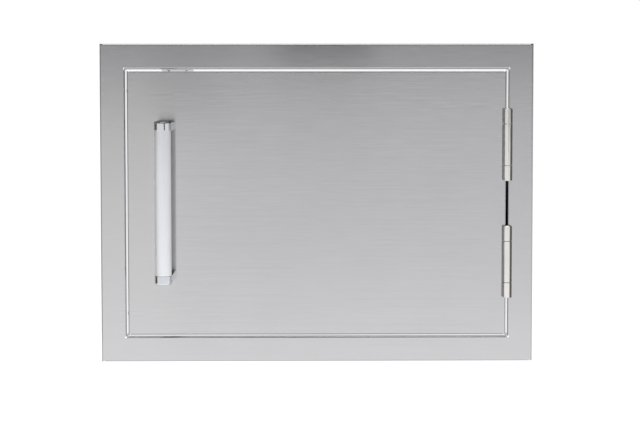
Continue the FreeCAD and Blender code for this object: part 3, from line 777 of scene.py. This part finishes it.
class HingeOperator(bpy.types.Operator):
    """Finishes both hinges with their pins, screws and backing plates"""

    bl_idname = "island_door.hinges"
    bl_label = "Hinges"

    def execute(self, context):
        fittings = context.scene.island_door_fittings
        radius = fittings.edge_radius
        # The leaves get painted shade along both sides of their barrels
        leaf = polished_part(
            "hinge_polished", fittings.hinge_colour, fittings.hinge_roughness, radius,
            fittings.side_shade_colour)
        pin = polished_part("pin_polished", fittings.screw_colour, fittings.pin_roughness, radius)
        screw = polished_part(
            "hinge_screw_steel", fittings.screw_colour, fittings.hinge_screw_roughness, radius)
        zinc = zinc_plated("backing_zinc", fittings.zinc_colour, fittings.zinc_roughness)
        dress(with_suffix("_frame_leaf") + with_suffix("_door_leaf"), leaf)
        dress(with_suffix("_pin"), pin)
        dress(with_suffix("_frame_screws") + with_suffix("_door_screws"), screw)
        dress(with_suffix("_backing_plate"), zinc)
        return {"FINISHED"}


class CatchOperator(bpy.types.Operator):
    """Finishes the magnetic catch, its bracket, its strike plate and the rivets"""

    bl_idname = "island_door.catch"
    bl_label = "Catch"

    def execute(self, context):
        fittings = context.scene.island_door_fittings
        plastic = moulded_plastic("catch_plastic", fittings.plastic_colour, fittings.plastic_roughness)
        magnet = ferrite("catch_ferrite", fittings.ferrite_colour, fittings.ferrite_roughness)
        zinc = zinc_plated("catch_zinc", fittings.zinc_colour, fittings.zinc_roughness)
        bright = bright_plate(
            "bracket_bright", fittings.bright_colour, fittings.plate_roughness, fittings.zinc_ripple)
        rivet = polished_part(
            "rivet_steel", fittings.screw_colour, fittings.rivet_roughness, fittings.edge_radius)
        dress(["catch_housing"], plastic)
        dress(["catch_magnet"], magnet)
        dress(["catch_bracket", "catch_bracket_screws"], bright)
        dress(["catch_pole_plates", "strike_plate"], zinc)
        dress(["catch_screws", "strike_rivets", "hinge_angle_rivets"], rivet)
        return {"FINISHED"}


def bead_ring(work, centre, y, radius):
    """Ring of vertices about a line along Y."""
    turns = [2 * math.pi * step / bead_sides for step in range(bead_sides)]
    return [
        work.verts.new((centre[0] + radius * math.cos(turn), y, centre[1] + radius * math.sin(turn)))
        for turn in turns]


def weld_bead(work, centre, low, high, weld):
    """Rippled round bead along Y, with rounded ends."""
    rings = max(2, round((high - low) / weld.ripple_pitch * bead_rings_per_ripple))
    loops = []
    for ring in range(rings + 1):
        y = low + (high - low) * ring / rings
        ripple = weld.ripple_height * math.cos(2 * math.pi * (y - low) / weld.ripple_pitch)
        from_end = min(ring, rings - ring) / bead_end_rings
        rounding = min(1.0, math.sqrt(max(from_end, bead_end_start)))
        loops.append(bead_ring(work, centre, y, (weld.radius + ripple) * rounding))
    for first, second in zip(loops, loops[1:]):
        for step in range(bead_sides):
            following = (step + 1) % bead_sides
            work.faces.new((first[step], first[following], second[following], second[step]))
    work.faces.new(loops[0])
    work.faces.new(loops[-1])


class WeldOperator(bpy.types.Operator):
    """Adds the beads that close the sleeve's four corners"""

    bl_idname = "island_door.welds"
    bl_label = "Corner welds"

    def execute(self, context):
        sheet = context.scene.island_door_sheet
        weld = context.scene.island_door_welds
        work = bmesh.new()
        inwards = weld.radius * weld.sink
        # The sleeve's wall is as far past the door at the top as it is at the sides
        wall_past_door = sleeve_outside_x - door_high.x
        for side_x in (-1, 1):
            for side_z in (-1, 1):
                centre = (
                    side_x * (sleeve_outside_x - inwards),
                    side_z * (door_high.z + wall_past_door - inwards),
                )
                weld_bead(work, centre, weld.start, frame_high.y - weld.end_gap, weld)
        material = weld_metal("weld_metal", sheet.colour, weld.roughness)
        new_piece("sleeve_welds", work, material, "frame_body")
        return {"FINISHED"}


# Stage


def studio_world(studio):
    """White surroundings as the camera and bright metal see them, with a darker room above
    and behind the camera, and an even light for matt surfaces."""
    world = bpy.data.worlds.new("studio")
    bpy.context.scene.world = world
    shader = Shader(world)
    x, y, z = shader.node("ShaderNodeTexCoord", output="Generated").split()
    behind = shader.between(y - z * dusk_lean, *dusk_behind_range)
    above = shader.between(z, *dusk_above_range)
    reflected = shader.mix(behind * above, white, studio.dusk_colour)
    mirrored = shader.ray("Is Glossy Ray") + shader.ray("Is Transmission Ray")
    lit = shader.mix(mirrored, studio.room_colour, reflected)
    seen = shader.mix(shader.ray("Is Camera Ray"), lit, white)
    background = shader.node("ShaderNodeBackground", {}, {"Color": seen})
    shader.node("ShaderNodeOutputWorld", {}, {"Surface": background})


def stage_panel(name, corners, material):
    """Four-cornered panel that belongs to the stage."""
    mesh = bpy.data.meshes.new(name)
    mesh.from_pydata(corners, [], [range(len(corners))])
    mesh.materials.append(material)
    panel = new_object(name, mesh)
    return panel


def studio_floor(studio):
    """Pale floor that looks white where it is open to the light and keeps a soft shadow."""
    material, shader = new_material("floor_paint")
    mottle = shader.noise(shader.place() * floor_clouds, detail=3.0)
    mottled = toned(studio.floor_colour, 0.98)
    seen = shader.ray("Is Camera Ray") + shader.ray("Is Glossy Ray") + shader.ray("Is Transmission Ray")
    shader.coated({
        "Base Color": shader.mix(mottle, mottled, studio.floor_colour),
        "Roughness": 0.9,
        "Specular IOR Level": 0.0,
        "Emission Color": shader.mix(seen, black, toned(white, studio.floor_lift)),
        "Emission Strength": 1.0,
    })
    level = frame_low.z - studio.floor_drop
    reach = studio.floor_reach
    corners = [
        (-reach, -reach, level), (reach, -reach, level),
        (reach, reach, level), (-reach, reach, level),
    ]
    stage_panel("studio_floor", corners, material)


def mirrored_card(card, base):
    """Puts up one of the cards that only bright metal sees."""
    material, shader = new_material(card.name)
    place = shader.place()
    cloth = shader.noise(place * cloth_folds, detail=3.0)
    folded = toned(base, 0.9)
    shader.coated({
        "Base Color": shader.mix(cloth, folded, base),
        "Roughness": 1.0,
        "Specular IOR Level": 0.0,
        "Emission Color": white,
        "Emission Strength": card.glow,
        "Alpha": shader.between(place.split()[0], *card.fade) if card.fade else 1.0,
    })
    foot, top = card.heights
    corners = [(*card.start, foot), (*card.end, foot), (*card.end, top), (*card.start, top)]
    panel = stage_panel(card.name, corners, material)
    panel.visible_camera = False
    panel.visible_diffuse = False
    panel.visible_shadow = False


def overhead_lamp(studio):
    """Rectangular soft lamp above and in front of the door that looks at its middle."""
    lamp = bpy.data.lights.new("overhead_lamp", "AREA")
    lamp.shape = "RECTANGLE"
    lamp.size = studio.lamp_width
    lamp.size_y = studio.lamp_depth
    lamp.energy = studio.lamp_power
    holder = new_object("overhead_lamp", lamp)
    holder.location = studio.lamp_place
    to_middle = -Vector(studio.lamp_place)
    holder.rotation_euler = to_middle.to_track_quat("-Z", "Y").to_euler()


def photo_camera(studio):
    """Camera at the photograph's viewing angle."""
    lens = bpy.data.cameras.new("camera")
    lens.lens = studio.lens
    lens.sensor_fit = "HORIZONTAL"
    camera = new_object("camera", lens)
    turn, dip, roll = studio.camera_turn, studio.camera_dip, studio.camera_roll
    forward = Vector((
        math.sin(turn) * math.cos(dip), math.cos(turn) * math.cos(dip), -math.sin(dip)))
    right = Vector((math.cos(turn), -math.sin(turn), 0.0))
    up = right.cross(forward)
    leaning_right = right * math.cos(roll) + up * math.sin(roll)
    leaning_up = up * math.cos(roll) - right * math.sin(roll)
    axes = Matrix((leaning_right, leaning_up, -forward)).transposed()
    camera.matrix_world = Matrix.Translation(studio.camera_place) @ axes.to_4x4()
    bpy.context.scene.camera = camera


class StageOperator(bpy.types.Operator):
    """Sets up the floor, the surroundings, the cards, the lamp and the camera"""

    bl_idname = "island_door.stage"
    bl_label = "Stage"

    def execute(self, context):
        studio = context.scene.island_door_studio
        studio_world(studio)
        studio_floor(studio)
        for card in mirrored_cards:
            mirrored_card(card, getattr(studio, card.colour))
        overhead_lamp(studio)
        photo_camera(studio)
        context.scene.view_settings.view_transform = "Standard"
        return {"FINISHED"}


# Panel and registration


piece_operators = (
    FrameOperator, DoorOperator, HandleOperator, HingeOperator, CatchOperator, WeldOperator)
property_groups = {
    "island_door_sheet": SheetFinish,
    "island_door_fittings": FittingFinish,
    "island_door_welds": WeldBeads,
    "island_door_studio": StudioSettings,
}


class DoorPanel(bpy.types.Panel):
    """Lists the steps that dress and light the door"""

    bl_idname = "VIEW3D_PT_island_door"
    bl_label = "Island Door"
    bl_space_type = "VIEW_3D"
    bl_region_type = "UI"
    bl_category = "Island Door"

    def draw(self, context):
        for step in (*piece_operators, StageOperator):
            self.layout.operator(step.bl_idname)
        for name, group in property_groups.items():
            box = self.layout.box()
            box.label(text=group.__doc__)
            for setting in group.__annotations__:
                box.prop(getattr(context.scene, name), setting)


classes = (*property_groups.values(), *piece_operators, StageOperator, DoorPanel)


def register():
    """Makes the classes known, and the settings part of every scene."""
    for each in classes:
        bpy.utils.register_class(each)
    for name, group in property_groups.items():
        setattr(bpy.types.Scene, name, bpy.props.PointerProperty(type=group))


def unregister():
    """Takes back what register did."""
    for name in property_groups:
        delattr(bpy.types.Scene, name)
    for each in reversed(classes):
        bpy.utils.unregister_class(each)


def main():
    """Runs every step in order."""
    register()
    for step in (*piece_operators, StageOperator):
        group, action = step.bl_idname.split(".")
        getattr(getattr(bpy.ops, group), action)()


if __name__ == "__main__":
    main()
